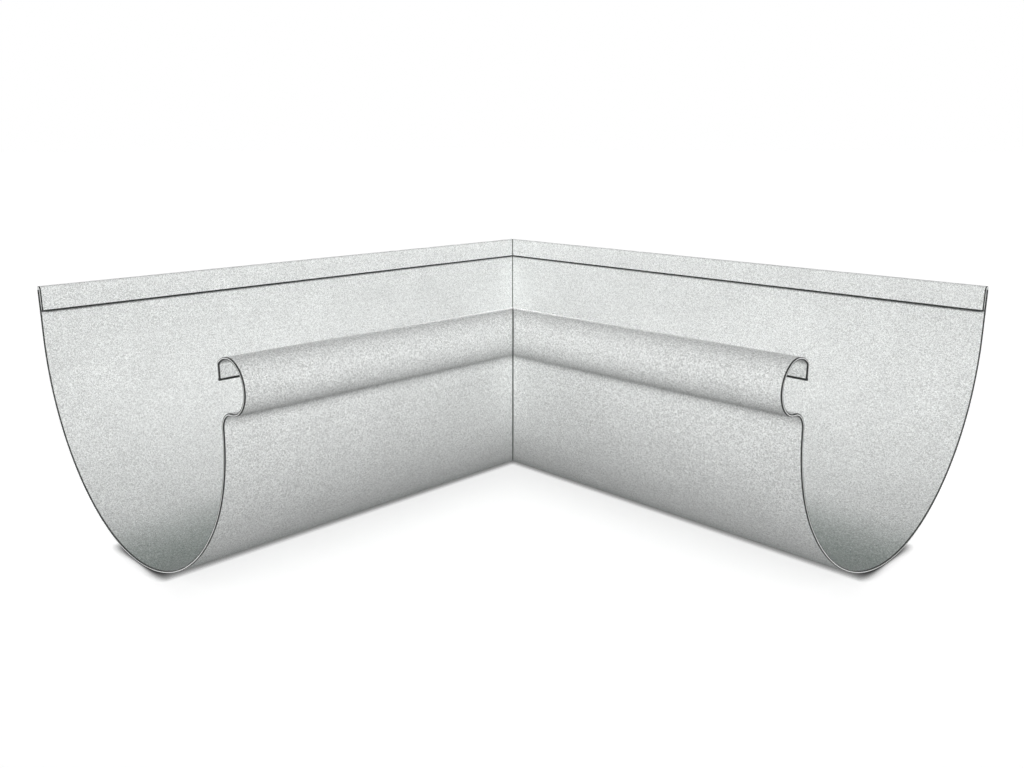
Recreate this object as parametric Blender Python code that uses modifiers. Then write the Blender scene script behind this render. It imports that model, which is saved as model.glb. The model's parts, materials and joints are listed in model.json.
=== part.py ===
"""Internal gutter angle: a half-round sheet-metal gutter turned through an inside roof corner.

One strip of sheet is folded to the gutter's section: a hem on the tall back wall, a half-round
channel, a soft shoulder and an open round bead along the front. Two mitred lengths of that section
meet at a right angle and are fused at the mitre, so the angle is a single piece. The tall back
walls are on the outside of the corner and the beads on the inside.

Metres, +Z up. One arm runs along +X and the other along -Y. The origin is under the middle of the
square that the angle fills in plan, on the surface that it stands on.
"""

from math import acos, ceil, cos, pi, radians, sin, tan

import bmesh
import bpy
from mathutils import Vector

MM = 0.001

# The whole angle
CORNER_ANGLE = radians(90.0)  # between the two arms, in plan
ARM_LENGTH = 200.0 * MM  # from the corner of the channels' middle lines to a cut end
SHEET = 0.8 * MM  # thickness of the folded sheet
CHANNEL_WIDTH = 150.0 * MM  # clear width between the front and back walls

# The hem along the back wall, folded inwards and down
BACK_RISE = 21.0 * MM  # top of the hem above the middle of the half round
HEM_DEPTH = 10.5 * MM  # top of the hem to the edge of its leaf
HEM_GAP = 1.6 * MM  # clear space between the leaf and the wall

# The front of the channel, a little fuller than a true quarter circle
FLOOR_SPLIT = radians(53.0)  # turn from the lowest line to where the curve tightens
FRONT_UPRIGHT = 1.0 * MM  # straight stretch of wall below the shoulder

# The bead along the front, rolled outwards over the top and back to a short tab
BEAD_DIAMETER = 18.0 * MM  # over the outside
BEAD_DROP = 1.4 * MM  # underside of the bead below the middle of the half round
TAB_TURN = radians(49.5)  # place on the bead, above its middle, where the tab's bend starts
TAB_BEND_RADIUS = 0.8 * MM  # inside of that bend
TAB_LENGTH = 4.8 * MM  # flat stretch of the tab, in line with the front wall

# How closely the flat facets follow the round stretches
CHORD_ERROR = 0.02 * MM

# Matt metallic coating, as linear colour
COATING_COLOUR = (0.62, 0.64, 0.63, 1.0)
COATING_ROUGHNESS = 0.55
COATING_METALLIC = 0.35

PIECE_NAME = "gutter_angle"


def clear_scene():
    for old in list(bpy.data.objects):
        bpy.data.objects.remove(old, do_unlink=True)


def arc(centre, radius, start, end):
    """Points of a round stretch from angle start to angle end, its middle and both ends included."""
    widest_step = 2.0 * acos(1.0 - CHORD_ERROR / radius)
    steps = 2 * ceil(abs(end - start) / widest_step / 2.0)
    angles = [start + (end - start) * i / steps for i in range(steps + 1)]
    return [Vector((centre.x + radius * cos(a), centre.y + radius * sin(a))) for a in angles]


def hem_line(wall):
    """Middle of the sheet from the edge of the hem's leaf, over the fold, to the back wall."""
    fold = (HEM_GAP + SHEET) / 2.0
    centre = Vector((wall - fold, BACK_RISE - SHEET / 2.0 - fold))
    leaf_edge = Vector((wall - 2.0 * fold, BACK_RISE - HEM_DEPTH))
    return [leaf_edge] + arc(centre, fold, pi, 0.0)


def bead_sizes():
    """Radii of the bead, the tab's bend and the shoulder, each to the middle of the sheet.

    The shoulder is as deep as the bead overhangs its tab, so the tab stands in line with the wall.
    """
    bead = (BEAD_DIAMETER - SHEET) / 2.0
    tab_bend = TAB_BEND_RADIUS + SHEET / 2.0
    shoulder = (bead - tab_bend) * cos(TAB_TURN) + tab_bend
    return bead, tab_bend, shoulder


def channel_line(wall, front_top):
    """Middle of the sheet round the channel, from the back wall to the top of the front wall.

    The back is a true quarter circle. The front is two arcs that share a tangent: a flatter one
    along the floor and a tighter one up to the wall. Both radii follow from the height at which
    the wall turns upright and from the angle at which the arcs meet.
    """
    upright_from = front_top - FRONT_UPRIGHT
    lean = tan(FLOOR_SPLIT / 2.0)
    tight = (wall + upright_from - wall * lean) / (1.0 - lean)
    flat = tight + (wall - tight) / sin(FLOOR_SPLIT)
    flat_centre = Vector((0.0, flat - wall))
    tight_centre = Vector((tight - wall, upright_from))
    lowest = -pi / 2.0
    points = arc(Vector((0.0, 0.0)), wall, 0.0, lowest)
    points += arc(flat_centre, flat, lowest, lowest - FLOOR_SPLIT)[1:]
    points += arc(tight_centre, tight, lowest - FLOOR_SPLIT, -pi)[1:]
    return points


def bead_line(wall, front_top):
    """Middle of the sheet over the shoulder, round the bead and down its tab."""
    bead, tab_bend, shoulder = bead_sizes()
    shoulder_centre = Vector((-wall - shoulder, front_top))
    bead_centre = shoulder_centre + Vector((0.0, shoulder + bead))
    reach = bead - tab_bend
    bend_centre = bead_centre + Vector((reach * cos(TAB_TURN), reach * sin(TAB_TURN)))
    points = arc(shoulder_centre, shoulder, 0.0, pi / 2.0)
    points += arc(bead_centre, bead, -pi / 2.0, TAB_TURN - 2.0 * pi)[1:]
    points += arc(bend_centre, tab_bend, TAB_TURN, 0.0)[1:]
    points.append(points[-1] - Vector((0.0, TAB_LENGTH)))
    return points


def section_line():
    """The whole section as one line of points (towards the back, up), in the middle of the sheet."""
    wall = (CHANNEL_WIDTH + SHEET) / 2.0
    shoulder = bead_sizes()[2]
    front_top = SHEET / 2.0 - BEAD_DROP - shoulder
    return hem_line(wall) + channel_line(wall, front_top) + bead_line(wall, front_top)


def half_angle_mesh(name):
    """One arm's open surface, from its cut end to the mitre, which lies in the plane X = 0.

    The mitre's edges are marked sharp, so the shading breaks there as the sheet does.
    """
    half = CORNER_ANGLE / 2.0
    along = Vector((sin(half), -cos(half), 0.0))
    to_back = Vector((cos(half), sin(half), 0.0))
    up = Vector((0.0, 0.0, 1.0))

    bm = bmesh.new()
    line = section_line()
    cut_end = [bm.verts.new(along * ARM_LENGTH + to_back * p.x + up * p.y) for p in line]
    edges = [bm.edges.new(pair) for pair in zip(cut_end, cut_end[1:])]
    extruded = bmesh.ops.extrude_edge_only(bm, edges=edges)["geom"]
    at_mitre = {g for g in extruded if isinstance(g, bmesh.types.BMVert)}
    for vert in at_mitre:
        vert.co -= along * (vert.co.x / along.x)
        vert.co.x = 0.0
    for face in bm.faces:
        face.smooth = True
    for edge in bm.edges:
        edge.smooth = not at_mitre.issuperset(edge.verts)
    bmesh.ops.recalc_face_normals(bm, faces=bm.faces)
    mesh = bpy.data.meshes.new(name)
    bm.to_mesh(mesh)
    bm.free()
    return mesh


def coating():
    """Matt light-grey metallic coating, the same on both faces of the sheet."""
    material = bpy.data.materials.new("light_grey_coated_steel")
    material.use_nodes = True
    shader = material.node_tree.nodes["Principled BSDF"]
    shader.inputs["Base Color"].default_value = COATING_COLOUR
    shader.inputs["Roughness"].default_value = COATING_ROUGHNESS
    shader.inputs["Metallic"].default_value = COATING_METALLIC
    return material


def build_gutter_angle(collection):
    """Both arms: the half is mirrored at the mitre, then the surface gets the sheet's thickness."""
    piece = bpy.data.objects.new(PIECE_NAME, half_angle_mesh(PIECE_NAME))
    piece.data.materials.append(coating())
    collection.objects.link(piece)

    mitre = piece.modifiers.new("mitre", "MIRROR")
    mitre.use_axis = (True, False, False)
    mitre.use_mirror_merge = True
    mitre.merge_threshold = 0.01 * MM

    thickness = piece.modifiers.new("sheet_thickness", "SOLIDIFY")
    thickness.solidify_mode = "NON_MANIFOLD"
    thickness.nonmanifold_thickness_mode = "CONSTRAINTS"
    thickness.thickness = SHEET
    thickness.offset = 0.0

    shading = piece.modifiers.new("flat_walls_shade_flat", "WEIGHTED_NORMAL")
    shading.keep_sharp = True

    outer_wall = CHANNEL_WIDTH / 2.0 + SHEET
    to_middle = (ARM_LENGTH - outer_wall) / 2.0
    piece.rotation_euler = (0.0, 0.0, (pi - CORNER_ANGLE) / 2.0)
    piece.location = (-to_middle, to_middle, outer_wall)
    return piece


def main():
    clear_scene()
    collection = bpy.data.collections.new("internal_gutter_angle")
    bpy.context.scene.collection.children.link(collection)
    build_gutter_angle(collection)


main()
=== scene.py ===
# %% [markdown]
# # Internal gutter angle
# This notebook gives a half-round gutter angle its finished look. The part turns a roof gutter
# through an inside corner: two lengths of folded sheet, each mitred at 45 degrees, are joined at a
# right angle. The solid model that fixes its size is loaded first and never changed. Every length
# below is written in millimetres and multiplied by MM, because Blender measures in metres.

# %% Load the solid model
import json
from math import cos, pi, radians, sin, tan

import bmesh
import bpy
from mathutils import Matrix, Vector

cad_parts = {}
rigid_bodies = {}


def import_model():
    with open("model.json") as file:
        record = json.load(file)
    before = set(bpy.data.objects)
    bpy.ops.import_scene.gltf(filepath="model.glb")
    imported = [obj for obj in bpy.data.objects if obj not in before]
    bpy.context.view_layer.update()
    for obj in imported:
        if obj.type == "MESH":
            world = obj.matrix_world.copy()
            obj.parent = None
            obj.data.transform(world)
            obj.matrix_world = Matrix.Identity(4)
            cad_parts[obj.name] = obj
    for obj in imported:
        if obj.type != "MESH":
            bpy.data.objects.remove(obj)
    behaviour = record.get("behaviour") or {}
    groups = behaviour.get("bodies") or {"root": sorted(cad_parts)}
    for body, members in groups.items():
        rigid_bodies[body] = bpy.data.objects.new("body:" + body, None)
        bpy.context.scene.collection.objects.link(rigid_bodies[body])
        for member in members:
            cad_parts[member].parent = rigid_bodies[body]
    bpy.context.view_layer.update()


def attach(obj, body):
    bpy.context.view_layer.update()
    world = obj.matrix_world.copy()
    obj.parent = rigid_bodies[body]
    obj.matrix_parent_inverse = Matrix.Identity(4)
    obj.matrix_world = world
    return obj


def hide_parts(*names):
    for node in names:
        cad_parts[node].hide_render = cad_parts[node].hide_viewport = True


for leftover in list(bpy.data.objects):
    bpy.data.objects.remove(leftover, do_unlink=True)
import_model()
MM = 0.001

# %% [markdown]
# ## Camera
# The camera comes first, so every later choice is judged in the final view. The viewer stands in
# front of the inside corner and looks slightly down. A lens of 32 mm on the 36 mm wide sensor is a
# mild wide angle, which makes the near cut ends larger than the corner behind them. The small
# vertical shift slides the picture in its frame without turning the camera. One picture can't tell
# such a shift from a slightly different section, so it was settled by taking the channel to be as
# wide in front as behind.

# %% Camera
VIEWER = Vector((263.4, -263.9, 153.0)) * MM
LOOKS_DOWN = 13.35  # degrees below level
LOOKS_ALONG = 45.0  # degrees, seen from above: straight at the corner, between the two arms

camera_data = bpy.data.cameras.new("camera")
camera_data.sensor_width = 36.0
camera_data.lens = 32.27
camera_data.shift_y = -0.021
camera_data.clip_start = 0.01
camera = bpy.data.objects.new("camera", camera_data)
camera.location = VIEWER
camera.rotation_euler = (radians(90.0 - LOOKS_DOWN), 0.0, radians(LOOKS_ALONG))
bpy.context.scene.collection.objects.link(camera)
bpy.context.scene.camera = camera
print("camera at", [round(v, 4) for v in camera.location])

# %% [markdown]
# ## Sizes of the folded sheet
# The strip is described by its outside face, as a sheet-metal worker would trace it: the wall side
# of the back, the underside of the channel, and the outside of the bead. A point on that face has
# two numbers, u towards the back wall and z upwards, both counted from the middle of the channel.

# %% Sizes
SHEET = 0.8
CLEAR_WIDTH = 150.0
WALL = CLEAR_WIDTH / 2.0 + SHEET  # from the middle of the channel to the outside of each wall
ARM_LENGTH = 200.0
BACK_RISE = 21.0  # top of the hem above the middle of the half round
HEM_DEPTH = 10.5
HEM_GAP = 1.6
HEM_RADIUS = HEM_GAP / 2.0 + SHEET
FLOOR_SPLIT = radians(53.0)  # turn from the lowest line to where the curve tightens
FRONT_UPRIGHT = 1.0  # straight stretch of wall below the shoulder
BEAD_DIAMETER = 18.0
BEAD_RADIUS = BEAD_DIAMETER / 2.0
BEAD_DROP = 1.4  # underside of the bead below the middle of the half round
TAB_TURN = radians(49.5)  # place on the bead, above its middle, where the tab's bend starts
TAB_BEND = 0.8  # inside radius of that bend
TAB_RADIUS = TAB_BEND + SHEET
TAB_LENGTH = 4.8

# The corner where the two channels' middle lines meet, and the plane of the right arm's cut end
CORNER = Vector((-(ARM_LENGTH - WALL) / 2.0, (ARM_LENGTH - WALL) / 2.0, WALL)) * MM
CUT_END = CORNER.x + ARM_LENGTH * MM
MITRE_NORMAL = Vector((1.0, 1.0, 0.0)).normalized()
print("corner at", [round(v / MM, 1) for v in CORNER], "mm")

# %% [markdown]
# ## Drawing the section
# The section could be a list of points, but a folded strip is easier to trust when it is drawn the
# way it is folded: straight stretches and bends. A straight stretch extrudes the last vertex and
# moves it. A bend spins the last vertex about the bend's centre, in small steps.

# %% Straight stretches and bends
def at(u, z):
    """A point of the right arm's cut end, from u and z in millimetres."""
    return Vector((CUT_END, CORNER.y + u * MM, CORNER.z + z * MM))


def straight(bm, last, du, dz):
    """Adds a flat stretch of sheet after the last vertex and returns its far end."""
    new = bmesh.ops.extrude_vert_indiv(bm, verts=[last])["verts"][0]
    new.co += Vector((0.0, du, dz)) * MM
    return new


def bend(bm, last, u, z, turn, steps):
    """Spins the last vertex about (u, z) by turn.

    A positive turn is anticlockwise, seen from the cut end.
    """
    spun = bmesh.ops.spin(
        bm, geom=[last], cent=at(u, z), axis=(1.0, 0.0, 0.0), angle=turn, steps=steps,
        use_duplicate=False,
    )
    return next(g for g in spun["geom_last"] if isinstance(g, bmesh.types.BMVert))


# %% [markdown]
# ## The section, from the hem to the tab
# The order is the order along the strip. The back edge is folded into a narrow hem that stiffens
# it. The front of the channel has two curves that share a tangent, and both radii follow from the
# angle where they meet. The shoulder is exactly as deep as the bead overhangs its tab, which keeps
# the tab in line with the front wall. The strip starts and ends with a short stretch, RIM, where
# the slitting blade has bruised the coat: it will get a finish of its own.

# %% The section
RIM = 0.75
# How many short flats make up each bend. Wide bends need more of them to look round.
FLATS = {"hem": 16, "back": 48, "floor": 28, "front": 20, "shoulder": 16, "bead": 60, "tab": 7}


def draw_section(bm):
    """Draws the outside face's line and returns its first and last vertex."""
    middle = SHEET / 2.0
    bead, tab = BEAD_RADIUS - middle, TAB_RADIUS - middle
    shoulder = (bead - tab) * cos(TAB_TURN) + tab
    front_top = middle - BEAD_DROP - shoulder
    wall = WALL - middle
    lean = tan(FLOOR_SPLIT / 2.0)
    tight = (wall + front_top - FRONT_UPRIGHT - wall * lean) / (1.0 - lean)
    flat = tight + (wall - tight) / sin(FLOOR_SPLIT)
    bead_u, bead_z = -wall - shoulder, front_top + shoulder + bead
    reach = bead - tab
    tab_u, tab_z = bead_u + reach * cos(TAB_TURN), bead_z + reach * sin(TAB_TURN)
    tight_z = front_top - FRONT_UPRIGHT

    first = bm.verts.new(at(WALL - 2.0 * HEM_RADIUS, BACK_RISE - HEM_DEPTH))
    v = straight(bm, first, 0.0, RIM)
    v = straight(bm, v, 0.0, HEM_DEPTH - HEM_RADIUS - RIM)
    v = bend(bm, v, WALL - HEM_RADIUS, BACK_RISE - HEM_RADIUS, -pi, FLATS["hem"])
    v = straight(bm, v, 0.0, HEM_RADIUS - BACK_RISE)
    v = bend(bm, v, 0.0, 0.0, -pi / 2.0, FLATS["back"])
    v = bend(bm, v, 0.0, flat - wall, -FLOOR_SPLIT, FLATS["floor"])
    v = bend(bm, v, tight - wall, tight_z, FLOOR_SPLIT - pi / 2.0, FLATS["front"])
    v = straight(bm, v, 0.0, FRONT_UPRIGHT)
    v = bend(bm, v, -wall - shoulder, front_top, pi / 2.0, FLATS["shoulder"])
    v = bend(bm, v, bead_u, bead_z, TAB_TURN - 1.5 * pi, FLATS["bead"])
    v = bend(bm, v, tab_u, tab_z, -TAB_TURN, FLATS["tab"])
    v = straight(bm, v, 0.0, RIM - TAB_LENGTH)
    return first, straight(bm, v, 0.0, -RIM)


# %% [markdown]
# ## From the section to one arm
# The line is extruded past the corner and given its thickness while it is still a plain prism,
# because there the thickness comes out exact. Only then is it sawn through at the mitre plane, the
# same order as in a workshop. The sawn opening is closed with one face, which the next step needs.
# Two more cuts, which take nothing away, mark off the narrow bands beside the cut end and beside
# the mitre.

# %% One arm
END_BAND = 0.5
SEAM = 0.3
SPARE = 20.0  # extra length beyond the mitre, which the saw takes off
ON_PLANE = 1e-7  # metres: a vertex closer to a cut than this counts as lying on it


def slice_at(bm, point, normal, clear_inner=False):
    """Cuts the mesh along a plane and returns the new edges."""
    cut = bmesh.ops.bisect_plane(
        bm, geom=bm.verts[:] + bm.edges[:] + bm.faces[:], dist=ON_PLANE,
        plane_co=point, plane_no=normal, clear_inner=clear_inner,
    )["geom_cut"]
    return [g for g in cut if isinstance(g, bmesh.types.BMEdge)]


def make_arm(bm):
    """Turns the section's line into the right arm, a closed sheet that ends at the mitre plane."""
    out = bmesh.ops.extrude_edge_only(bm, edges=bm.edges[:])["geom"]
    moved = [g for g in out if isinstance(g, bmesh.types.BMVert)]
    bmesh.ops.translate(bm, verts=moved, vec=(-(ARM_LENGTH + WALL + SPARE) * MM, 0.0, 0.0))
    back = max(bm.faces, key=lambda f: f.calc_center_median().y)
    if back.normal.y < 0.0:
        bmesh.ops.reverse_faces(bm, faces=bm.faces[:])
    bmesh.ops.solidify(bm, geom=bm.faces[:], thickness=SHEET * MM)
    slice_at(bm, at(0.0, 0.0) - Vector((END_BAND * MM, 0.0, 0.0)), Vector((1.0, 0.0, 0.0)))
    slice_at(bm, CORNER + MITRE_NORMAL * SEAM * MM, MITRE_NORMAL)
    mitre_edges = slice_at(bm, CORNER, MITRE_NORMAL, clear_inner=True)
    bmesh.ops.edgeloop_fill(bm, edges=mitre_edges)
    bmesh.ops.recalc_face_normals(bm, faces=bm.faces[:])


# %% [markdown]
# ## Easing the edges
# No cut edge is perfectly sharp. The shears leave a fine rounded burr, and a mitre is dressed with
# a file before it is joined. A small bevel on every corner that turns more than 40 degrees does
# both jobs: it gives the cut ends a thin line of their own, and where the two arms meet, the two
# bevels leave the fine groove that shows as the seam. The bends turn far less than 40 degrees per
# step, so they are left alone.

# %% Eased edges
EASED = 0.14
CORNER_TURN = radians(40.0)  # an edge that turns more than this is a corner and not part of a bend


def ease_edges(bm):
    """Bevels the corners, marks the bevels' own edges as sharp, and returns how many there were."""
    corners = [e for e in bm.edges if e.calc_face_angle() > CORNER_TURN]
    out = bmesh.ops.bevel(
        bm, geom=corners, offset=EASED * MM, offset_type="OFFSET", segments=2, profile=0.5,
        affect="EDGES", material=-1, clamp_overlap=True,
    )
    for face in bm.faces:
        face.smooth = True
    for face in out["faces"]:
        for edge in face.edges:
            edge.smooth = False
    return len(corners)


# %% [markdown]
# ## Which finish goes where
# The arms were cut to length after folding, with a blade that came from the outside. A sheared
# face always shows zones: a thin rounded rim where the coat was drawn over the edge, then metal
# that the blade burnished bright, and on the inside metal that tore, rough and dark. The coat
# beside the cut was bruised on both sides by the jaws that held it, except inside the hem, where
# no jaw can reach. The mitre is closed with a line of sealer.
#
# Each face is given the number of its finish while there is one arm, and its mirror image will
# take the same numbers. Two measures tell the faces apart: the distance from a cut, and the depth
# below the strip's outside line, which is 0 on the outside skin and 0.8 on the inside one.

# %% Finishes by face
COAT, BURNISHED, BRUISED, SEALED = 0, 1, 2, 3  # COAT is what a face has from the start
BRIGHT_FROM, BRIGHT_TO = 0.2, 0.45  # the burnished zone, as depth below the outside
SQUARE_ON = 0.999  # a normal with this share along a direction faces it squarely
MOSTLY = 0.5  # and with this share it faces it more or less, as an eased edge does


def closest(flat, a, b):
    """The point of the stretch from a to b that is nearest to flat."""
    share = (flat - a).dot(b - a) / (b - a).length_squared
    return a.lerp(b, min(max(share, 0.0), 1.0))


def depth_below(outside, point):
    """Distance of a point from the outside line, both seen from the cut end."""
    flat = point.yz
    return min((flat - closest(flat, a, b)).length for a, b in outside)


def choose_finish(bm, outside, long_edges):
    """Numbers the faces. long_edges are the places of the strip's two long edges in (y, z)."""
    cut_face = [f for f in bm.faces if f.normal.x > SQUARE_ON]
    for width in (BRIGHT_FROM - EASED, SHEET - BRIGHT_TO - BRIGHT_FROM):
        bmesh.ops.inset_region(
            bm, faces=cut_face, thickness=width * MM, use_boundary=True, use_even_offset=True,
        )
    leaf = long_edges[0]
    for face in bm.faces:
        middle = face.calc_center_median()
        from_long = min((middle.yz - edge).length for edge in long_edges)
        if (middle - CORNER).dot(MITRE_NORMAL) < SEAM * MM:
            face.material_index = SEALED
        elif from_long < (RIM + SHEET) / 2.0 * MM:
            face.material_index = BRUISED
        elif CUT_END - middle.x < END_BAND * MM:
            depth = depth_below(outside, middle) / MM
            in_hem = middle.y > leaf.x and middle.z > leaf.y and depth > SHEET / 2.0
            if face.normal.x > MOSTLY and BRIGHT_FROM < depth < BRIGHT_TO:
                face.material_index = BURNISHED
            elif not in_hem:
                face.material_index = BRUISED


# %% [markdown]
# ## Joining the two arms
# The left arm is the mirror image of the right one across the mitre plane. The closing face inside
# the joint is taken out first, so that the two skins weld into a single closed sheet, as the two
# halves of the real angle are fused into one. The mirror tool leaves two rows of vertices in the
# mitre plane, one for each arm. They are merged in a step of their own, and the count of open edges
# has to come out as 0.

# %% The whole angle
WELD = 0.001  # mm: vertices this close to the mitre plane, and to each other, are merged


def join_arms(bm):
    """Adds the left arm and merges the two into one closed sheet."""
    closing = [f for f in bm.faces if abs(f.normal.dot(MITRE_NORMAL)) > SQUARE_ON]
    bmesh.ops.delete(bm, geom=[max(closing, key=lambda f: len(f.verts))], context="FACES_ONLY")
    across = MITRE_NORMAL.to_track_quat("X", "Z").to_matrix().to_4x4().inverted()
    across = across @ Matrix.Translation(-CORNER)
    bmesh.ops.mirror(bm, geom=bm.verts[:] + bm.edges[:] + bm.faces[:], matrix=across, axis="X")
    meeting = [v for v in bm.verts if abs((v.co - CORNER).dot(MITRE_NORMAL)) < WELD * MM]
    bmesh.ops.remove_doubles(bm, verts=meeting, dist=WELD * MM)
    bmesh.ops.recalc_face_normals(bm, faces=bm.faces[:])


bm = bmesh.new()
first, last = draw_section(bm)
strip = sum(e.calc_length() for e in bm.edges) / MM
outside = [(e.verts[0].co.yz, e.verts[1].co.yz) for e in bm.edges]
# The middle of the sheet lies half a thickness inside the line: the hem's leaf faces away from the
# wall, so its inside is towards the wall, and the tab's inside is towards the bead.
half = Vector((SHEET / 2.0 * MM, 0.0))
long_edges = [first.co.yz + half, last.co.yz - half]
make_arm(bm)
corners = ease_edges(bm)
choose_finish(bm, outside, long_edges)
join_arms(bm)
print("strip", round(strip, 1), "mm wide,", corners, "corner edges eased")
print(len(bm.faces), "faces,", sum(not e.is_manifold for e in bm.edges), "open edges,",
      round(bm.calc_volume() * 1e6, 2), "cm3")
print("faces per finish", [sum(f.material_index == i for f in bm.faces)
                           for i in (COAT, BURNISHED, BRUISED, SEALED)])
mesh = bpy.data.meshes.new("folded_sheet")
bm.to_mesh(mesh)
bm.free()
gutter = bpy.data.objects.new("folded_sheet", mesh)
bpy.context.scene.collection.objects.link(gutter)
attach(gutter, "root")
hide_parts("gutter_angle")

# %% [markdown]
# ## Colours and nodes
# Colours are written as they are picked on a screen. The renderer adds light in linear numbers, so
# one function converts them. A second one adds a node with its settings and links.
#
# The Mix node has one pair of inputs and one output for each kind of data, all with the same names,
# so its colour sockets are picked by their number.

# %% Helpers for materials
MIX_A, MIX_B, MIX_RESULT = 6, 7, 2


def linear(hex_colour):
    """An sRGB hex colour as linear red, green, blue and alpha."""
    values = [int(hex_colour[i:i + 2], 16) / 255.0 for i in (0, 2, 4)]
    return [v / 12.92 if v <= 0.04045 else ((v + 0.055) / 1.055) ** 2.4 for v in values] + [1.0]


def node(tree, kind, inputs=None, **settings):
    """Adds a node, sets it up, and links or fills its inputs."""
    new = tree.nodes.new(kind)
    for name, value in settings.items():
        setattr(new, name, value)
    for name, value in (inputs or {}).items():
        if isinstance(value, bpy.types.NodeSocket):
            tree.links.new(value, new.inputs[name])
        else:
            new.inputs[name].default_value = value
    return new


def new_material(name, roughness):
    """A material with a Principled shader, whose roughness is set on its own socket."""
    material = bpy.data.materials.new(name)
    material.use_nodes = True
    shader = material.node_tree.nodes["Principled BSDF"]
    shader.inputs["Roughness"].default_value = roughness
    shader.inputs["Metallic"].default_value = 0.0
    return material, material.node_tree, shader


# %% [markdown]
# ## Coil-coated steel, matt structured finish
# The sheet is galvanised steel with a light grey polyester coat that was baked on before folding.
# The coat has a fine structure, like very fine sand, which breaks every reflection up and gives
# the surface its dry, speckled grey. A picture of real sheet could be laid over it, but a texture
# that is worked out from the object's own coordinates has no seams and stays sharp at any size.
# The real grains are about 0.1 mm across, too fine to show from here, so they are drawn 0.3 mm
# across. Each cell of the Voronoi texture is one grain, with its own tone and its own dullness.
# A slow noise adds the slight clouds of a coat that was handled.
#
# The lowest part of the channel is painted darker and a little green. This is painted shade: the
# shade that falls in the bottom of the half round and on the lower front, put into the coat's
# colour. Its level is z plus a share of u, so it reaches higher at the front, and u is the larger
# of two coordinates, one for each arm. It is patchy from grain to grain. As it depends on height
# alone, the underside of the channel has it too.

# %% Coated steel
# The second colour is painted shade, which darkens and greens the coat low in the channel and under
# it.
COAT_COLOUR, PAINTED_SHADE_COLOUR = "DCDEDD", "B3BCB8"
GRAIN = 0.3
GRAIN_TONES = (0.66, 1.34)  # the darkest and the lightest grain, as shares of the coat's colour
GRAIN_DULLNESS = (0.6, 0.8)  # roughness of the glossiest and the dullest grain
GRAIN_HEIGHT = 0.02
GRAIN_BUMP = 0.25  # how much of that height the light sees
CLOUD = 18.0
CLOUD_NOISE = (0.3, 0.7)  # the part of the noise's range that makes the clouds
CLOUD_TONES = (0.97, 1.03)
SHADE_TILT = 0.15
SHADE_FROM, SHADE_TO = -4.0, 13.0  # full below the first level and gone above the second
SHADE_GRAINS = (1.5, 0.5)  # how strongly a low and a raised grain show the painted shade


def coated_steel():
    """The light grey coat, with grain, clouds and painted shade low in the channel."""
    material, tree, shader = new_material("coil_coated_steel_matt_structured", 0.7)
    place = node(tree, "ShaderNodeTexCoord").outputs["Object"]
    grain = node(tree, "ShaderNodeTexVoronoi", {"Vector": place, "Scale": 1.0 / (GRAIN * MM)})
    random = node(tree, "ShaderNodeSeparateColor", {"Color": grain.outputs["Color"]})
    speckle = node(tree, "ShaderNodeMapRange",
                   {"Value": random.outputs["Red"], "To Min": GRAIN_TONES[0],
                    "To Max": GRAIN_TONES[1]})
    clouds = node(tree, "ShaderNodeTexNoise", {"Vector": place, "Scale": 1.0 / (CLOUD * MM)})
    cloud = node(tree, "ShaderNodeMapRange",
                 {"Value": clouds.outputs["Fac"], "From Min": CLOUD_NOISE[0],
                  "From Max": CLOUD_NOISE[1], "To Min": CLOUD_TONES[0],
                  "To Max": CLOUD_TONES[1]})
    tone = node(tree, "ShaderNodeMath", {0: speckle.outputs[0], 1: cloud.outputs[0]},
                operation="MULTIPLY")
    coat = node(tree, "ShaderNodeVectorMath",
                {0: linear(COAT_COLOUR)[:3], "Scale": tone.outputs[0]}, operation="SCALE")
    # Painted shade: below a tilted level line the coat is multiplied by the second colour, patchy
    # by grain.
    from_corner = node(tree, "ShaderNodeVectorMath", {0: place, 1: (CORNER.x, CORNER.y, 0.0)},
                       operation="SUBTRACT")
    part = node(tree, "ShaderNodeSeparateXYZ", {"Vector": from_corner.outputs[0]})
    left_u = node(tree, "ShaderNodeMath", {0: part.outputs["X"], 1: -1.0}, operation="MULTIPLY")
    u = node(tree, "ShaderNodeMath", {0: part.outputs["Y"], 1: left_u.outputs[0]},
             operation="MAXIMUM")
    level = node(tree, "ShaderNodeMath", {0: u.outputs[0], 1: SHADE_TILT, 2: part.outputs["Z"]},
                 operation="MULTIPLY_ADD")
    low = node(tree, "ShaderNodeMapRange",
               {"Value": level.outputs[0], "From Min": SHADE_FROM * MM, "From Max": SHADE_TO * MM,
                "To Min": 1.0, "To Max": 0.0}, interpolation_type="SMOOTHSTEP")
    shade_per_grain = node(tree, "ShaderNodeMapRange",
                   {"Value": random.outputs["Blue"], "To Min": SHADE_GRAINS[0],
                    "To Max": SHADE_GRAINS[1]})
    painted_shade = node(tree, "ShaderNodeMath", {0: low.outputs[0], 1: shade_per_grain.outputs[0]},
                operation="MULTIPLY")
    colour = node(
        tree, "ShaderNodeMix",
        {0: painted_shade.outputs[0], MIX_A: coat.outputs[0], MIX_B: linear(PAINTED_SHADE_COLOUR)},
        data_type="RGBA", blend_type="MULTIPLY", clamp_factor=False,
    )
    tree.links.new(colour.outputs[MIX_RESULT], shader.inputs["Base Color"])
    dullness = node(tree, "ShaderNodeMapRange",
                    {"Value": random.outputs["Green"], "To Min": GRAIN_DULLNESS[0],
                     "To Max": GRAIN_DULLNESS[1]})
    tree.links.new(dullness.outputs[0], shader.inputs["Roughness"])
    bump = node(tree, "ShaderNodeBump",
                {"Height": random.outputs["Blue"], "Strength": GRAIN_BUMP,
                 "Distance": GRAIN_HEIGHT * MM})
    tree.links.new(bump.outputs[0], shader.inputs["Normal"])
    return material


gutter.data.materials.append(coated_steel())

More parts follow.
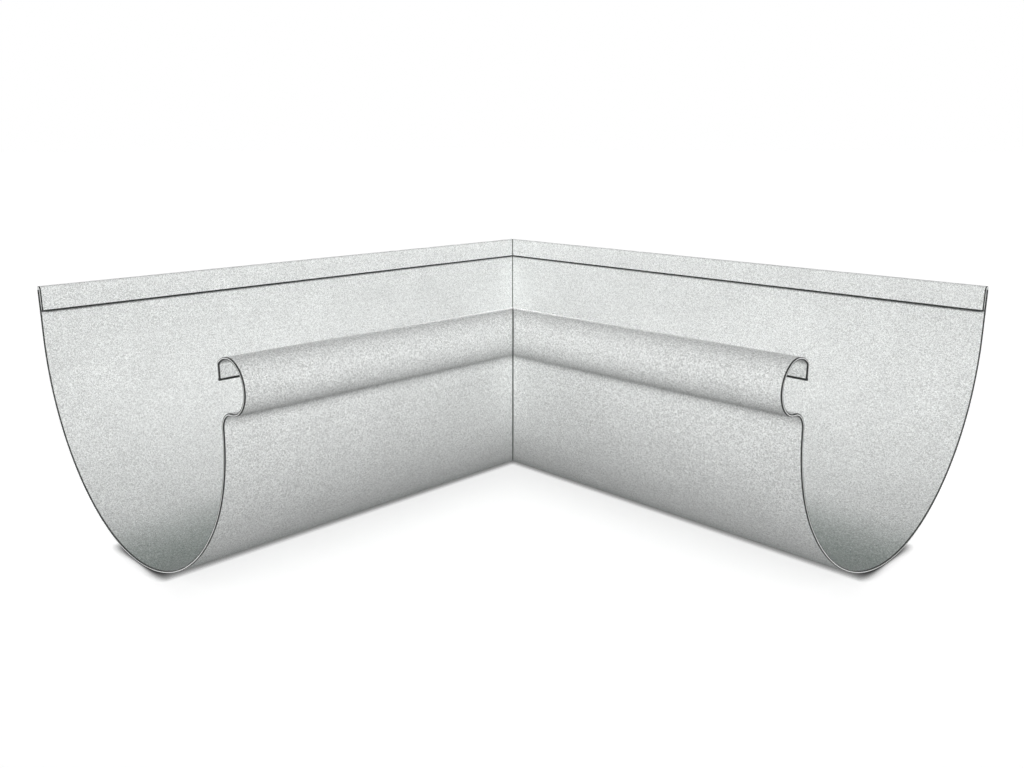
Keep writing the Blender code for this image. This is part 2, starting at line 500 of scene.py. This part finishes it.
# %% [markdown]
# ## The cuts and the sealer
# The burnished zone of a sheared face is bare steel, brighter than the coat. Torn steel and
# bruised coat have weathered nearly black. The mitre's sealer is a grey polyurethane that dried
# matt. All three waver a little, so each is mixed from two tones by a noise whose patches are a
# few tenths of a millimetre. They are added in the order of their numbers.

# %% Cuts and sealer
def mottled(name, dark, light, size, roughness):
    """A finish that wavers between two colours in patches of the given size in millimetres."""
    material, tree, shader = new_material(name, roughness)
    place = node(tree, "ShaderNodeTexCoord").outputs["Object"]
    patches = node(tree, "ShaderNodeTexNoise", {"Vector": place, "Scale": 1.0 / (size * MM)})
    colour = node(
        tree, "ShaderNodeMix",
        {0: patches.outputs["Fac"], MIX_A: linear(dark), MIX_B: linear(light)},
        data_type="RGBA",
    )
    tree.links.new(colour.outputs[MIX_RESULT], shader.inputs["Base Color"])
    return material


gutter.data.materials.append(
    mottled("burnished_steel_edge", "D8DAD9", "F0F2F1", size=0.3, roughness=0.4))
gutter.data.materials.append(
    mottled("bruised_coat_and_torn_steel", "121413", "222423", size=0.4, roughness=0.6))
gutter.data.materials.append(
    mottled("polyurethane_seam_sealer", "505352", "6A6D6B", size=0.5, roughness=0.7))
print("finishes", [m.name for m in gutter.data.materials])

# %% [markdown]
# ## Floor
# The part stands on a sheet of white paper. Paper that is lit from low down looks grey, so the
# camera and the reflections are given a floor that already is almost white, and the light that
# falls on it adds the rest. Where the part keeps the light away, its soft shadow remains. An
# ambient occlusion node darkens the last few millimetres beside the line where the part touches
# down. Its square darkens both the paper and its own light, because the gap under a round gutter
# closes faster than the node sees it. For everything else the floor is a dark grey card, which
# throws little light back up.

# %% Floor
FLOOR_SIZE = 40.0  # metres, so that its edge is never seen
FLOOR_GAP = 0.2  # the paper lies this far below the part, so the two surfaces don't coincide
PAPER_COLOUR = "F2F2F2"
PAPER_GLOW = 0.6
CONTACT = 3.5  # how far from a surface the paper starts to darken
CARD_GREY = 0.1

bpy.ops.mesh.primitive_plane_add(size=FLOOR_SIZE, location=(0.0, 0.0, -FLOOR_GAP * MM))
floor = bpy.context.object
floor.name = "floor"


def shown_directly(tree):
    """1 for rays from the camera and for reflected or refracted ones, otherwise 0."""
    path = node(tree, "ShaderNodeLightPath")
    either = node(tree, "ShaderNodeMath", {0: path.outputs["Is Camera Ray"],
                                           1: path.outputs["Is Glossy Ray"]}, operation="MAXIMUM")
    return node(tree, "ShaderNodeMath", {0: either.outputs[0],
                                         1: path.outputs["Is Transmission Ray"]},
                operation="MAXIMUM").outputs[0]


def white_floor():
    """White paper with a contact shadow for the camera, and a dark card for all other light."""
    material = bpy.data.materials.new("white_paper")
    material.use_nodes = True
    tree = material.node_tree
    tree.nodes.clear()
    card = node(tree, "ShaderNodeBsdfDiffuse", {"Color": (CARD_GREY, CARD_GREY, CARD_GREY, 1.0)})
    contact = node(tree, "ShaderNodeAmbientOcclusion", {"Distance": CONTACT * MM}, samples=16)
    open_sky = node(tree, "ShaderNodeMath", {0: contact.outputs["AO"], 1: contact.outputs["AO"]},
                    operation="MULTIPLY")
    tone = node(tree, "ShaderNodeVectorMath",
                {0: linear(PAPER_COLOUR)[:3], "Scale": open_sky.outputs[0]}, operation="SCALE")
    paper = node(tree, "ShaderNodeBsdfDiffuse", {"Color": tone.outputs[0]})
    glow = node(tree, "ShaderNodeMath", {0: open_sky.outputs[0], 1: PAPER_GLOW},
                operation="MULTIPLY")
    white = node(tree, "ShaderNodeEmission", {"Strength": glow.outputs[0]})
    seen = node(tree, "ShaderNodeAddShader", {0: paper.outputs[0], 1: white.outputs[0]})
    mix = node(tree, "ShaderNodeMixShader",
               {0: shown_directly(tree), 1: card.outputs[0], 2: seen.outputs[0]})
    node(tree, "ShaderNodeOutputMaterial", {"Surface": mix.outputs[0]})
    return material


floor.data.materials.append(white_floor())

# %% [markdown]
# ## World
# The world is what surrounds the part. The camera and the reflections see white, so the matt coat
# gets the pale sheen of a studio. As a source of light it is much weaker, a soft glow that keeps
# the insides of the hem and the bead from going black without washing out the shading.

# %% World
WHITE = (1, 1, 1, 1)
SOFT_GLOW = 0.12

world = bpy.data.worlds.new("studio")
world.use_nodes = True
bpy.context.scene.world = world
tree = world.node_tree
tree.nodes.clear()
white = node(tree, "ShaderNodeBackground", {"Color": WHITE, "Strength": 1.0})
soft = node(tree, "ShaderNodeBackground", {"Color": WHITE, "Strength": SOFT_GLOW})
mix = node(tree, "ShaderNodeMixShader",
           {0: shown_directly(tree), 1: soft.outputs[0], 2: white.outputs[0]})
node(tree, "ShaderNodeOutputWorld", {"Surface": mix.outputs[0]})
print("soft light of the world", round(soft.inputs["Strength"].default_value, 3))

# %% [markdown]
# ## Lamps
# All light comes from far lamps, so both arms are lit alike and nothing depends on where a lamp
# stands. The key lamp is behind the viewer and low. It meets the back walls almost squarely, grazes
# the channel's floor, and so makes the half round show as a soft change from light to dark. Two
# weak fill lamps from the sides and a stronger one from behind do the same for the surfaces that
# the key doesn't reach. A strength of 1 makes a facing surface come out as its colour is written.

# %% Lamps
def sun(name, strength, azimuth, elevation, angle):
    """A far lamp. It shines from that compass angle (0 is from the front, -Y) and that height.

    All angles are in degrees. The last is how wide the lamp looks, which softens its shadows.
    """
    data = bpy.data.lights.new(name, "SUN")
    data.energy = strength * pi
    data.angle = radians(angle)
    lamp = bpy.data.objects.new(name, data)
    lamp.rotation_euler = (radians(90.0 - elevation), 0.0, radians(azimuth))
    bpy.context.scene.collection.objects.link(lamp)


sun("key", strength=0.95, azimuth=45.0, elevation=14.0, angle=10.0)
sun("right_fill", strength=0.22, azimuth=125.0, elevation=12.0, angle=40.0)
sun("left_fill", strength=0.22, azimuth=-35.0, elevation=12.0, angle=40.0)
sun("back_fill", strength=0.65, azimuth=225.0, elevation=6.0, angle=12.0)
lamps = [o for o in bpy.data.objects if o.type == "LIGHT"]
print("lamps", [(lamp.name, round(lamp.data.energy, 2)) for lamp in lamps])

# %% [markdown]
# ## Finish
# The plain Standard view shows colours as they are written.

# %% Finish
bpy.context.scene.view_settings.view_transform = "Standard"
